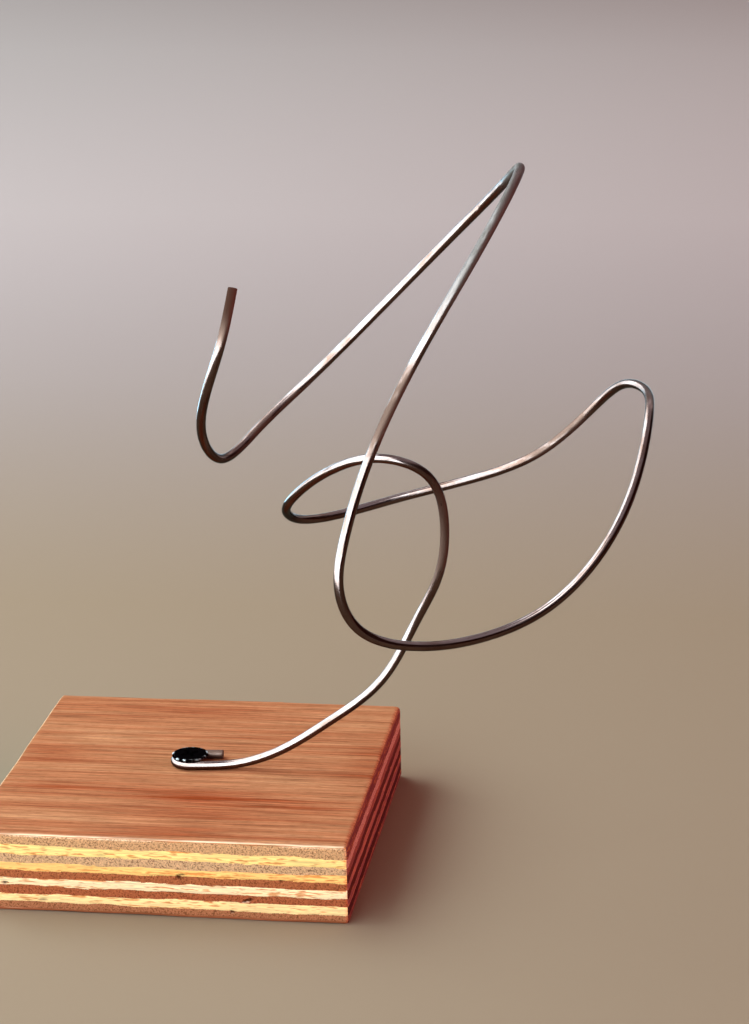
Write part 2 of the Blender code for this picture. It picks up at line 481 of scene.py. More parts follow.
def box_grid(counts):
    """Grid indices of the points on a box's six sides, and its quads, wound to face outwards."""
    corners = []
    for axis in range(3):
        u, v = [(1, 2), (2, 0), (0, 1)][axis]
        i, j = np.meshgrid(np.arange(counts[u] - 1), np.arange(counts[v] - 1), indexing="ij")
        i, j = i.ravel(), j.ravel()
        for end in (0, 1):
            quad = np.zeros((len(i), 4, 3), int)
            quad[:, :, axis] = end * (counts[axis] - 1)
            for corner, (du, dv) in enumerate(((0, 0), (1, 0), (1, 1), (0, 1))):
                quad[:, corner, u] = i + du
                quad[:, corner, v] = j + dv
            corners.append(quad if end else quad[:, ::-1])
    corners = np.concatenate(corners)
    keys = np.ravel_multi_index(corners.reshape(-1, 3).T, counts)
    unique, index = np.unique(keys, return_inverse=True)
    return np.array(np.unravel_index(unique, counts)).T, index.reshape(-1, 4)


def arris_radius(points, settings):
    """The radius of the hand-sanded corner near each point, which varies by up to a quarter."""
    along = points @ np.array((1.0, 0.83, 0.31)) / MM
    change = 0.16 * np.sin(along / 9.0) + 0.1 * np.sin(along / 3.1 + 1.0)
    return settings.arris * (1.0 + change)[:, None]


def edge_relief(points, normals, ply):
    """How far sawing, sanding and wear have hollowed each point, in metres, and its flaws' part."""
    depth = np.zeros(len(points))
    flaws = np.zeros(len(points))
    for n, (point, normal) in enumerate(zip(points / MM, normals)):
        if abs(normal[2]) > 0.99:
            depth[n] = FACE_HOLLOW * (1 + noise.noise(Vector((point[0] * 0.12, point[1] * 0.9, 3.0))))
            continue
        layer = int(min(ply[n], len(PLIES) - 0.01))
        stretch = (0.08, 1.0, 1.0) if layer % 2 == 0 else (1.0, 0.08, 1.0)
        grain = Vector([p * s * 1.6 for p, s in zip(point, stretch)]) + Vector((0, 0, layer * 9))
        end_grain = abs(normal[0] if layer % 2 == 0 else normal[1])
        depth[n] = EDGE_HOLLOW + GRAIN_HOLLOW * (1 + noise.noise(grain)) * (1 + end_grain)
        to_glue = abs(ply[n] - round(ply[n]))
        depth[n] += GLUE_GROOVE * max(0.0, 1 - to_glue / GLUE_HALF_WIDTH)
        if normal[1] < -0.7:
            for x, z, length, width, lean, deep in EDGE_FLAWS:
                turn = math.radians(lean)
                run, rise = point[0] - x, point[2] - z
                u = (run * math.cos(turn) + rise * math.sin(turn)) / length
                v = (rise * math.cos(turn) - run * math.sin(turn)) / width
                flaws[n] = max(flaws[n], deep * math.exp(-(u * u + v * v) ** 2))
    return (depth + flaws) * MM, flaws


def face_patches(points):
    """How much redder or paler than the rest the face veneer is at each point."""
    tone = np.zeros(len(points))
    for x, y, length, width, lean, strength in FACE_PATCHES:
        turn = math.radians(lean)
        run, back = points[:, 0] / MM - x, points[:, 1] / MM - y
        u = (run * math.cos(turn) + back * math.sin(turn)) / length
        v = (back * math.cos(turn) - run * math.sin(turn)) / width
        tone += strength * np.exp(-(u * u) - v * v)
    return tone


def bore_hole(points, faces, tops, centre):
    """Opens the screw's hole in the top: the middle squares give way to a ring that runs down."""
    square = []
    for face in tops:
        middle = points[faces[face]].mean(axis=0) - centre
        if max(abs(middle[0]), abs(middle[1])) < HOLE_REACH * MM:
            square.append(face)
    cut = faces[square]
    edges = np.concatenate([cut[:, [k, (k + 1) % 4]] for k in range(4)])
    inner = {tuple(edge) for edge in edges[:, ::-1].tolist()}
    following = {a: b for a, b in edges.tolist() if (a, b) not in inner}
    loop = [next(iter(following))]
    while following[loop[-1]] != loop[0]:
        loop.append(following[loop[-1]])
    top = centre[2]
    new_points, new_faces, last = list(points), [], loop
    for radius, height in HOLE_WALL:
        ring = []
        for index in loop:
            out = points[index][:2] - centre[:2]
            out = out / np.linalg.norm(out) * radius * MM + centre[:2]
            ring.append(len(new_points))
            new_points.append(np.array((*out, top + height * MM)))
        new_faces += ring_quads(last, ring)
        last = ring
    tip = len(new_points)
    new_points.append(np.array((centre[0], centre[1], top + HOLE_TIP * MM)))
    new_faces += [(last[k], last[(k + 1) % len(last)], tip) for k in range(len(last))]
    kept = np.delete(faces, square, axis=0).tolist()
    return np.array(new_points), kept + new_faces


def plinth_mesh(settings):
    xs = grid_lines(PLINTH_LOW.x, PLINTH_HIGH.x)
    ys = grid_lines(PLINTH_LOW.y, PLINTH_HIGH.y)
    plies = ply_lines()[::-1]
    grid, faces = box_grid((len(xs), len(ys), len(plies)))
    x, y, ply = xs[grid[:, 0]], ys[grid[:, 1]], plies[grid[:, 2]]
    depths = ply_depths(x, y)
    layer = np.minimum(ply.astype(int), len(PLIES) - 1)
    everywhere = np.arange(len(x))
    above, below = depths[layer, everywhere], depths[layer + 1, everywhere]
    z = PLINTH_HIGH.z - (above + (ply - layer) * (below - above))
    points = np.column_stack((x, y, z))

    radius = arris_radius(points, settings)
    low, high = np.array(PLINTH_LOW), np.array(PLINTH_HIGH)
    core = np.clip(points, low + radius, high - radius)
    normals = points - core
    normals /= np.linalg.norm(normals, axis=1)[:, None]
    points = core + radius * normals

    down = PLINTH_HIGH.z - points[:, 2]
    ply = np.array([np.interp(d, column, range(len(PLIES) + 1)) for d, column in zip(down, depths.T)])
    relief, flaws = edge_relief(points, normals, ply)
    flat = (normals[:, 2] < -0.99) | (grid[:, 2] == 0)
    points -= np.where(flat, 0.0, relief)[:, None] * normals

    tops = np.flatnonzero((grid[faces][:, :, 2] == len(plies) - 1).all(axis=1))
    centre = np.array(((SCREW_LOW.x + SCREW_HIGH.x) / 2, (SCREW_LOW.y + SCREW_HIGH.y) / 2, high[2]))
    count = len(points)
    points, faces = bore_hole(points, faces, tops, centre)
    added = len(points) - count
    extra = np.interp(high[2] - points[count:, 2], depths[:, 0], range(len(PLIES) + 1))
    return points, faces, np.append(ply, extra), np.append(flaws, np.zeros(added))


def along_grain(tree, place, crossing, squeeze):
    """The place in millimetres, squeezed along the grain: along X in odd plies and Y in even ones."""
    along_x = add_node(tree, "VectorMath", {0: place, 1: (squeeze, 1.0, 1.0)}, operation="MULTIPLY")
    along_y = add_node(tree, "VectorMath", {0: place, 1: (1.0, squeeze, 1.0)}, operation="MULTIPLY")
    ways = {0: crossing, 4: along_x, 5: along_y}
    return add_node(tree, "Mix", ways, data_type="VECTOR")


def ply_colours(tree, depth, column):
    """The plies' colours in one column of their list, each in its own band of depth."""
    stops = [(i / len(PLIES), linear(ply[column])) for i, ply in enumerate(PLIES)]
    colours = add_node(tree, "ValToRGB", {"Fac": depth}, stops)
    colours.color_ramp.interpolation = "CONSTANT"
    return colours


def ragged_plies(tree, place):
    """The ply at each place, counted down from the face, with its share of the way through."""
    # torn fibres make the glue lines ragged, by up to a fifth of a ply
    tearing = add_node(tree, "VectorMath", {0: place, 1: (0.12, 0.12, 1.0)}, operation="MULTIPLY")
    torn_line = add_node(
        tree, "TexNoise", {"Vector": tearing, "Scale": 1.0, "Detail": 5.0, "Roughness": 0.7}
    )
    shake = add_node(
        tree, "MapRange",
        {"Value": torn_line, "From Min": 0.2, "From Max": 0.8, "To Min": -0.22, "To Max": 0.22},
    )
    cut_ply = add_node(tree, "Attribute", attribute_name="ply")
    shaken = add_node(tree, "Math", {0: cut_ply.outputs["Fac"], 1: shake}, operation="ADD")
    ply = add_node(tree, "Clamp", {"Value": shaken, "Min": 0.01, "Max": len(PLIES) - 0.01})
    return ply


def sap_stains(tree, layer, long_grain, vessel, fibre):
    """How strongly sap has stained each place in the long grain."""
    # orange sap streaks 0.3 to 0.4 mm thick in the long grain, broken every few millimetres
    sapwood = add_node(tree, "Math", {0: vessel, 1: 0.7, 2: fibre}, operation="MULTIPLY_ADD")
    sap = add_node(
        tree, "MapRange", {"Value": sapwood, "From Min": 0.89, "From Max": 1.0, "To Max": 0.85}
    )
    # the lowest ply is heartwood, which has none
    sappy = add_node(tree, "Math", {0: layer, 1: len(PLIES) - 1.5}, operation="LESS_THAN")
    stained_grain = add_node(tree, "Math", {0: sappy, 1: long_grain}, operation="MULTIPLY")
    stains = add_node(tree, "Math", {0: sap, 1: stained_grain}, operation="MULTIPLY")
    return stains


def arris_fuzz_and_highlight(tree, normal, fibre):
    """How thick the pale, broken line along the upper arris is: fuzz that the sandpaper raised, and a
    painted highlight where the arris faces the light.
    """
    rising = add_node(
        tree, "MapRange", {"Value": normal.outputs[2], "From Min": 0.25, "From Max": 0.55}
    )
    falling = add_node(
        tree, "MapRange",
        {"Value": normal.outputs[2], "From Min": 0.7, "From Max": 0.93, "To Min": 1.0, "To Max": 0.0},
    )
    broken = add_node(
        tree, "MapRange",
        {"Value": fibre, "From Min": 0.42, "From Max": 0.56, "To Min": 0.3, "To Max": 1.0},
    )
    corner = add_node(tree, "Math", {0: rising, 1: falling}, operation="MULTIPLY")
    # the pale line stays off the right arris, which stands in shade: its painted highlight falls only
    # on the lit arrises
    smooth = add_node(
        tree, "MapRange",
        {"Value": normal.outputs[0], "From Min": 0.1, "From Max": 0.3, "To Min": 1.0, "To Max": 0.0},
    )
    shown_on_lit_arrises = add_node(tree, "Math", {0: broken, 1: smooth}, operation="MULTIPLY")
    fuzz_and_highlight = add_node(tree, "Math", {0: corner, 1: shown_on_lit_arrises}, operation="MULTIPLY")
    return fuzz_and_highlight


def plywood_material(settings):
    """Red hardwood-faced plywood, sawn square and sanded, with no finish.

    The eye gets a matt face with fine streaks along the grain, and edges striped by plies that
    show long grain and end grain in turn.
    """
    material, tree, shader = new_material("Hardwood_faced_plywood_sanded")
    coordinates = add_node(tree, "TexCoord")
    place = add_node(
        tree, "VectorMath", {0: coordinates.outputs["Object"], "Scale": 1 / MM}, operation="SCALE"
    )
    ply = ragged_plies(tree, place)
    layer = add_node(tree, "Math", {0: ply}, operation="FLOOR")
    crossing = add_node(tree, "Math", {0: layer, 1: 2.0}, operation="MODULO")
    # fibres run about 35 times as far as they are wide
    grain = along_grain(tree, place, crossing, 0.028)
    shift = add_node(tree, "Math", {0: layer, 1: 3.7}, operation="MULTIPLY")
    # fibre bundles about 0.4 mm wide
    fibre = add_node(
        tree, "TexNoise",
        {"Vector": grain, "W": shift, "Scale": 2.4, "Detail": 4.0, "Roughness": 0.7},
        noise_dimensions="4D",
    )
    # bands of early and late growth, about 2 mm wide in the rotary-cut face
    band = add_node(
        tree, "TexNoise",
        {"Vector": grain, "W": shift, "Scale": 0.5, "Detail": 6.0, "Roughness": 0.6},
        noise_dimensions="4D",
    )
    # vessels are 0.2 mm wide, drawn 0.33 mm wide so that they show, and 2 mm long
    vessel_way = along_grain(tree, place, crossing, 0.16)
    vessel = add_node(
        tree, "TexNoise",
        {"Vector": vessel_way, "W": shift, "Scale": 3.0, "Detail": 1.0},
        noise_dimensions="4D",
    )
    pores = add_node(
        tree, "MapRange", {"Value": vessel, "From Min": 0.53, "From Max": 0.62, "To Max": 1.0}
    )

    depth = add_node(tree, "Math", {0: ply, 1: float(len(PLIES))}, operation="DIVIDE")
    front = ply_colours(tree, depth, 2)
    # the side colours are partly painted shade: the plies darkened for the shaded right edge, darker
    # towards the bottom
    side = ply_colours(tree, depth, 3)
    normal = add_node(tree, "SeparateXYZ", {0: coordinates.outputs["Normal"]})
    facing = [
        add_node(tree, "Math", {0: normal.outputs[axis]}, operation="ABSOLUTE")
        for axis in range(3)
    ]
    sideways = add_node(tree, "Math", {0: facing[0], 1: facing[1]}, operation="GREATER_THAN")
    edge = add_node(tree, "Mix", {0: sideways, 6: front, 7: side}, data_type="RGBA")
    # the fibres' ends show in the even plies at the front and back, in the odd ones at the sides
    end_on = add_node(tree, "Math", {0: crossing, 1: sideways}, operation="SUBTRACT")
    end_grain = add_node(tree, "Math", {0: end_on}, operation="ABSOLUTE")
    # at the sides the saw has burnt the long grain, which dims its streaks
    burnt = add_node(tree, "Math", {0: sideways, 1: 0.65, 2: end_grain}, operation="MULTIPLY_ADD")
    long_grain = add_node(tree, "Math", {0: 1.0, 1: burnt}, operation="SUBTRACT", use_clamp=True)
    stains = sap_stains(tree, layer, long_grain, vessel, fibre)
    stained = add_node(tree, "Mix", {0: stains, 6: edge, 7: tuple(settings.stain)}, data_type="RGBA")
    patch = add_node(tree, "Attribute", attribute_name="patch")
    clouded = add_node(
        tree, "Math", {0: patch.outputs["Fac"], 1: 0.26, 2: band}, operation="MULTIPLY_ADD"
    )
    streaks = add_node(
        tree, "MapRange", {"Value": clouded, "From Min": 0.3, "From Max": 0.8, "To Max": 1.0}
    )
    face = add_node(
        tree, "Mix", {0: streaks, 6: tuple(settings.face), 7: tuple(settings.streak)}, data_type="RGBA"
    )
    flatness = add_node(tree, "MapRange", {"Value": facing[2], "From Min": 0.5, "From Max": 0.75})
    wood = add_node(tree, "Mix", {0: flatness, 6: stained, 7: face}, data_type="RGBA")
    # the darkest fibres keep this share of the wood's colour, less in the face than in the edges
    darkest = add_node(tree, "Mix", {0: flatness, 2: 0.72, 3: 0.45}, data_type="FLOAT")
    tone = add_node(
        tree, "MapRange",
        {"Value": fibre, "From Min": 0.3, "From Max": 0.7, "To Min": darkest, "To Max": 1.45},
    )
    toned = add_node(tree, "VectorMath", {0: wood, "Scale": tone}, operation="SCALE")
    # vessels are open dots where they are cut across and faint lines where they lie along
    openness = add_node(tree, "MapRange", {"Value": end_grain, "To Min": 0.04, "To Max": 0.6})
    shown = add_node(tree, "Mix", {0: flatness, 2: openness, 3: 0.18}, data_type="FLOAT")
    pore_share = add_node(tree, "Math", {0: pores, 1: shown}, operation="MULTIPLY")
    pored = add_node(tree, "Mix", {0: pore_share, 6: toned, 7: linear("5A3418")}, data_type="RGBA")
    # a pale cream line along the front and left arrises: raised fuzz together with a painted highlight
    fuzz_and_highlight = arris_fuzz_and_highlight(tree, normal, fibre)
    fuzzed_and_lit = add_node(tree, "Mix", {0: fuzz_and_highlight, 6: pored, 7: linear("FFF0C8")}, data_type="RGBA")
    # each flaw darkens with its depth: painted shade in the hollows of the gouges and torn spots
    flaw_shade = add_node(tree, "Attribute", attribute_name="flaw_shade")
    painted_hollow_shade = add_node(
        tree, "MapRange",
        {"Value": flaw_shade.outputs["Fac"], "From Min": 0.06, "From Max": 0.3, "To Max": 0.9},
    )
    finished = add_node(tree, "Mix", {0: painted_hollow_shade, 6: fuzzed_and_lit, 7: linear("351A10")}, data_type="RGBA")
    # sanded to about 150 grit, and roughest in the dark fibres
    gloss = add_node(
        tree, "MapRange",
        {"Value": fibre, "From Min": 0.3, "From Max": 0.7, "To Min": 0.85, "To Max": 0.65},
    )
    height = add_node(tree, "Math", {0: fibre, 1: pores}, operation="SUBTRACT")
    relief = add_node(tree, "Bump", {"Height": height, "Strength": 0.5, "Distance": 0.06 * MM})
    fill(tree, shader, {"Base Color": finished, "Roughness": gloss, "Normal": relief, "IOR": 1.5})
    # open, dry fibres scatter what a smooth face would mirror
    fill(tree, shader, {"Specular IOR Level": 0.0})
    return material


class SCULPTURE_OT_plinth(bpy.types.Operator):
    """Build the plywood plinth with its plies, eased arrises and the screw's hole"""

    bl_idname = "sculpture.plinth"
    bl_label = "Plywood Plinth"

    def execute(self, context):
        settings = context.scene.sculpture_plinth
        points, faces, ply, flaws = plinth_mesh(settings)
        block = mesh_object("plywood_block", points, faces)
        if len(block.data.polygons) != len(faces):
            raise RuntimeError("the plinth's mesh has faces that don't hold")
        store(block, "ply", "FLOAT", ply)
        # the flaws' depths, which the material turns into painted shade in their hollows
        store(block, "flaw_shade", "FLOAT", flaws)
        store(block, "patch", "FLOAT", face_patches(points))
        dress(block, plywood_material(settings), "plywood_plinth")
        return {"FINISHED"}


# Wire --------------------------------------------------------------------------------------------


def route_tangents(points, chords, first_direction):
    """Slopes at the points of the cubic that passes through them with no break in its bend."""
    system = np.eye(len(points))
    slopes = np.zeros_like(points)
    slopes[0] = first_direction
    for i in range(1, len(points) - 1):
        before, after = chords[i - 1], chords[i]
        system[i, i - 1 : i + 2] = after, 2 * (before + after), before
        rise = after / before * (points[i] - points[i - 1])
        run = before / after * (points[i + 1] - points[i])
        slopes[i] = 3 * (rise + run)
    system[-1, -2:] = 1, 2
    slopes[-1] = 3 * (points[-1] - points[-2]) / chords[-1]
    return np.linalg.solve(system, slopes)


def wire_centreline():
    """Evenly spaced points along the wire, from the tail at the hook to the cut end."""
    along = np.array((math.cos(HOOK_TILT), math.sin(HOOK_TILT), 0.0))
    across = np.array((-along[1], along[0], 0.0))
    rest = PLINTH_HIGH.z + bpy.context.scene.sculpture_wire.radius
    middle = (SCREW_LOW + SCREW_HIGH) / 2
    centre = np.array((middle.x, middle.y, rest))
    turns = np.linspace(0, math.pi, HOOK_STEPS)
    hook = [centre + HOOK_RADIUS * (math.cos(t) * across - math.sin(t) * along) for t in turns]
    shares = np.linspace(0, 1, TAIL_STEPS)[:-1]
    tail = [hook[0] + along * TAIL_LENGTH * (1 - share) for share in shares]

    points = np.array([hook[-1]] + [np.array(point) * MM for point in ROUTE_MM])
    chords = np.linalg.norm(np.diff(points, axis=0), axis=1)
    slopes = route_tangents(points, chords, along)
    route = []
    for i, chord in enumerate(chords):
        for t in np.arange(1, ROUTE_STEPS + 1) / ROUTE_STEPS:
            start = (1 + 2 * t) * (1 - t) ** 2 * points[i] + t**2 * (3 - 2 * t) * points[i + 1]
            turn = t * (1 - t) ** 2 * slopes[i] - t**2 * (1 - t) * slopes[i + 1]
            route.append(start + chord * turn)
    path = np.array(tail + hook + route)
    travel = np.append(0.0, np.cumsum(np.linalg.norm(np.diff(path, axis=0), axis=1)))
    even = np.linspace(0, travel[-1], round(travel[-1] / RING_STEP) + 1)
    return np.column_stack([np.interp(even, travel, path[:, k]) for k in range(3)]), even


def carried_frames(points):
    """Directions along the wire and two square to it, carried along it without twisting."""
    tangents = np.gradient(points, axis=0)
    tangents /= np.linalg.norm(tangents, axis=1)[:, None]
    side = np.cross(tangents[0], (0.0, 0.0, 1.0))
    sides = []
    for tangent in tangents:
        side = side - tangent * (side @ tangent)
        side /= np.linalg.norm(side)
        sides.append(side)
    sides = np.array(sides)
    return tangents, sides, np.cross(tangents, sides)


def wire_mesh(settings):
    points, travel = wire_centreline()
    tangents, sides, ups = carried_frames(points)
    angles = 2 * math.pi * np.arange(WIRE_SIDES) / WIRE_SIDES
    radii = np.full((len(points), WIRE_SIDES), settings.radius)
    for at, facing, length, width, depth in NICKS:
        ring = np.argmin(abs(travel - at * MM))
        lie = math.atan2(np.dot(facing, ups[ring]), np.dot(facing, sides[ring]))
        offset = (angles - lie + math.pi) % (2 * math.pi) - math.pi
        along = np.exp(-(((travel - at * MM) / (length * MM)) ** 2))
        radii -= depth * MM * along[:, None] * np.exp(-((offset / width) ** 2))[None, :]
    shell = points[:, None] + radii[:, :, None] * (
        np.cos(angles)[None, :, None] * sides[:, None] + np.sin(angles)[None, :, None] * ups[:, None]
    )
    verts = shell.reshape(-1, 3)
    lines = np.column_stack(
        (
            np.tile(np.cos(angles), len(points)) * settings.radius,
            np.tile(np.sin(angles), len(points)) * settings.radius,
            np.repeat(travel, WIRE_SIDES),
        )
    )
    rings = np.arange(len(verts)).reshape(-1, WIRE_SIDES).tolist()
    faces = []
    for ring, following in zip(rings, rings[1:]):
        faces += ring_quads(ring, following)
    for ring, way in ((0, -1.0), (len(points) - 1, 1.0)):
        last = rings[ring]
        for share, out in CUT_RINGS:
            spread = points[ring] + (shell[ring] - points[ring]) * share
            spread = spread + tangents[ring] * way * out * MM
            new = list(range(len(verts), len(verts) + WIRE_SIDES))
            verts = np.vstack((verts, spread))
            lines = np.vstack((lines, lines[last] * np.array((share, share, 1.0))))
            faces += [quad if way > 0 else quad[::-1] for quad in ring_quads(last, new)]
            last = new
        faces.append(tuple(last) if way > 0 else tuple(last[::-1]))
    return verts, faces, lines


def coverage(travel, stretches):
    """How strongly each place along the wire is covered, from a list of stretches."""
    shares = np.zeros(len(travel))
    for middle, length, strength in stretches:
        shares = np.maximum(shares, strength * np.exp(-(((travel / MM - middle) / length) ** 4)))
    return shares


def wire_noise(tree, lines, width, length, detail, roughness):
    """Noise whose cells have this width across the wire and this length along it, in millimetres."""
    scale = (1 / (width * MM), 1 / (width * MM), 1 / (length * MM))
    place = add_node(tree, "VectorMath", {0: lines.outputs["Vector"], 1: scale}, operation="MULTIPLY")
    sockets = {"Vector": place, "Scale": 1.0, "Detail": detail, "Roughness": roughness}
    return add_node(tree, "TexNoise", sockets)


def steel_material(settings):
    """Drawn mild steel wire, bright from the die, browned by handling and grey with scale in places.

    The eye gets long, sharp highlights that run along the wire, broken by fine die lines and by
    duller brown patches, and matt grey and brown stretches where scale or rust hides the metal. The
    brown stretches also carry painted shade and painted dark reflection.
    """
    material, tree, shader = new_material("Drawn_steel_wire_browned")
    lines = add_node(tree, "Attribute", attribute_name="drawn")
    # die lines are about 0.03 mm apart, drawn up to 0.3 mm apart so that they show, and 12 mm long
    die = wire_noise(tree, lines, 0.3, 12.0, detail=3.0, roughness=0.6)
    # brown patches about 6 mm long and 1.6 mm wide
    patch = wire_noise(tree, lines, 1.6, 6.0, detail=4.0, roughness=0.6)
    # the stretches of rust that also carry painted shade and painted dark reflection
    browned_and_shaded = add_node(tree, "Attribute", attribute_name="browned_and_shaded")
    browning_and_shade = add_node(
        tree, "Math", {0: browned_and_shaded.outputs["Fac"], 1: 0.3, 2: patch}, operation="MULTIPLY_ADD"
    )
    share = add_node(tree, "MapRange", {"Value": browning_and_shade, "From Min": 0.38, "From Max": 0.7})
    skin = add_node(
        tree, "Mix", {0: share, 6: tuple(settings.bright), 7: tuple(settings.browned)}, data_type="RGBA"
    )
    # sparse rust-brown specks 0.3 mm across
    speck = wire_noise(tree, lines, 0.5, 0.7, detail=2.0, roughness=0.5)
    spots = add_node(
        tree, "MapRange", {"Value": speck, "From Min": 0.64, "From Max": 0.72, "To Max": 0.6}
    )
    spotted = add_node(tree, "Mix", {0: spots, 6: skin, 7: linear("4A3022")}, data_type="RGBA")
    # thin brown rust, broken by the patches: it scatters light and hides the metal under it; along
    # the browned stretches this dark matt brown is also painted shade and painted dark reflection
    rust = add_node(
        tree, "MapRange", {"Value": browning_and_shade, "From Min": 0.42, "From Max": 0.68, "To Max": 1.0}
    )
    rust_and_shade = add_node(tree, "Math", {0: browned_and_shaded.outputs["Fac"], 1: rust}, operation="MULTIPLY")
    finished = add_node(tree, "Mix", {0: rust_and_shade, 6: spotted, 7: linear("4A362C")}, data_type="RGBA")
    # grey scale, thicker in patches: a dull film that scatters light as a painted wire would
    scaled = add_node(tree, "Attribute", attribute_name="scaled")
    thickness = add_node(
        tree, "MapRange",
        {"Value": patch, "From Min": 0.3, "From Max": 0.6, "To Min": 0.7, "To Max": 1.0},
    )
    film = add_node(tree, "Math", {0: scaled.outputs["Fac"], 1: thickness}, operation="MULTIPLY")
    filmed = add_node(tree, "Mix", {0: film, 6: finished, 7: linear("46403A")}, data_type="RGBA")
    covered = add_node(tree, "Math", {0: film, 1: rust_and_shade}, operation="ADD")
    bare = add_node(tree, "Math", {0: 1.0, 1: covered}, operation="SUBTRACT", use_clamp=True)
    dulled = add_node(tree, "Math", {0: die, 1: browning_and_shade}, operation="ADD")
    gloss = add_node(
        tree, "MapRange",
        {"Value": dulled, "From Min": 0.75, "From Max": 1.5, "To Min": 0.1, "To Max": 0.34},
    )
    dull = add_node(tree, "Math", {0: covered, 1: 0.4, 2: gloss}, operation="MULTIPLY_ADD")
    relief = add_node(tree, "Bump", {"Height": die, "Strength": 0.35, "Distance": 0.02 * MM})
    fill(tree, shader, {"Base Color": filmed, "Metallic": bare, "Roughness": dull, "Normal": relief})
    # scale and rust are porous and mirror nothing, and bare steel turns a cooler grey at its rim
    fill(tree, shader, {"Specular IOR Level": 0.0, "Specular Tint": linear("A0B0B4")})
    return material


class SCULPTURE_OT_wire(bpy.types.Operator):
    """Build the bent steel wire with its plier marks and cut ends"""

    bl_idname = "sculpture.wire"
    bl_label = "Bent Wire"

    def execute(self, context):
        settings = context.scene.sculpture_wire
        verts, faces, lines = wire_mesh(settings)
        wire = mesh_object("steel_wire_form", verts, faces)
        if len(wire.data.polygons) != len(faces):
            raise RuntimeError("the wire's mesh has faces that don't hold")
        store(wire, "drawn", "FLOAT_VECTOR", lines)
        # stretches of rust that also carry painted shade and painted dark reflection
        store(wire, "browned_and_shaded", "FLOAT", coverage(lines[:, 2], BROWNED_AND_SHADED))
        store(wire, "scaled", "FLOAT", coverage(lines[:, 2], SCALED))
        dress(wire, steel_material(settings), "bent_wire")
        return {"FINISHED"}


# Screw -------------------------------------------------------------------------------------------


def screw_rows():
    """(radius, height, thread share) down the screw in millimetres above the wood."""
    rows = [(radius, height, 0.0) for radius, height in RIM_PROFILE]
    out, up = FLARE_CENTRE
    for step in range(FLARE_STEPS + 1):
        angle = math.pi / 2 * (1 + step / FLARE_STEPS)
        rows.append((out + FLARE_RADIUS * math.cos(angle), up + FLARE_RADIUS * math.sin(angle), 0.0))
    rows += [(radius, height, 0.0) for radius, height in NECK_PROFILE]
    height = THREAD_START
    while height > SHANK_END:
        rows.append((SHANK_CORE, height, min(1.0, (THREAD_START - height) / THREAD_RUN_IN)))
        height -= THREAD_PITCH / ROWS_PER_TURN
    for step in range(TIP_STEPS):
        share = step / TIP_STEPS
        height = SHANK_END + (SCREW_TIP - SHANK_END) * share
        rows.append((SHANK_CORE * (1 - share), height, 1 - share))
    return rows


def screw_mesh(top):
    verts, faces, rim = [], [], []
    rows = screw_rows()
    middle = (SCREW_LOW + SCREW_HIGH) / 2
    for radius, height, thread in rows[1:]:
        for k in range(SCREW_SIDES):
            angle = 2 * math.pi * k / SCREW_SIDES
            phase = (height / THREAD_PITCH - k / SCREW_SIDES) % 1.0
            crest = max(0.0, 1 - abs(phase - 0.5) / THREAD_HALF_WIDTH) ** 0.8
            out = radius + thread * crest * (THREAD_CREST - SHANK_CORE)
            x = middle.x + out * MM * math.cos(angle)
            y = middle.y + out * MM * math.sin(angle)
            verts.append((x, y, top + height * MM))
            rim.append(1.0 if radius > RUBBED_RADIUS and height > RUBBED_HEIGHT else 0.0)
    verts.append((middle.x, middle.y, top + rows[0][1] * MM))
    verts.append((middle.x, middle.y, top + SCREW_TIP * MM))
    rim += [0.0, 0.0]
    count = len(rows) - 1
    for row in range(count - 1):
        for k in range(SCREW_SIDES):
            a, b = row * SCREW_SIDES + k, row * SCREW_SIDES + (k + 1) % SCREW_SIDES
            faces.append((a, a + SCREW_SIDES, b + SCREW_SIDES, b))
    for k in range(SCREW_SIDES):
        after = (k + 1) % SCREW_SIDES
        faces.append((len(verts) - 2, k, after))
        last = (count - 1) * SCREW_SIDES
        faces.append((len(verts) - 1, last + after, last + k))
    return verts, faces, rim


def recess_wing(turn, top):
    """One wing of the cross recess: a slot that narrows and shortens as it goes down."""
    middle = (SCREW_LOW + SCREW_HIGH) / 2
    verts, faces = [], []
    for length, width, height in RECESS_LEVELS:
        for u, v in ((-1, -1), (1, -1), (1, 1), (-1, 1)):
            x, y = u * length * MM, v * width * MM
            across = (x * math.cos(turn) - y * math.sin(turn), x * math.sin(turn) + y * math.cos(turn))
            verts.append((middle.x + across[0], middle.y + across[1], top + height * MM))
    for level in range(len(RECESS_LEVELS) - 1):
        for k in range(4):
            a, b = level * 4 + k, level * 4 + (k + 1) % 4
            faces.append((a, a + 4, b + 4, b))
    faces += [(0, 1, 2, 3), tuple(range(len(verts) - 1, len(verts) - 5, -1))]
    return mesh_object("recess_wing", verts, faces, smooth=False)


def cut_recess(screw, settings, top):
    wings = [recess_wing(settings.recess_turn + quarter, top) for quarter in (0.0, math.pi / 2)]
    for wing in wings:
        cut = screw.modifiers.new("Recess", "BOOLEAN")
        cut.operation = "DIFFERENCE"
        cut.solver = "EXACT"
        cut.object = wing
    shaped = screw.evaluated_get(bpy.context.evaluated_depsgraph_get())
    finished = bpy.data.meshes.new_from_object(shaped)
    screw.modifiers.clear()
    screw.data = finished
    finished.set_sharp_from_angle(angle=math.radians(35))
    for wing in wings:
        bpy.data.objects.remove(wing, do_unlink=True)


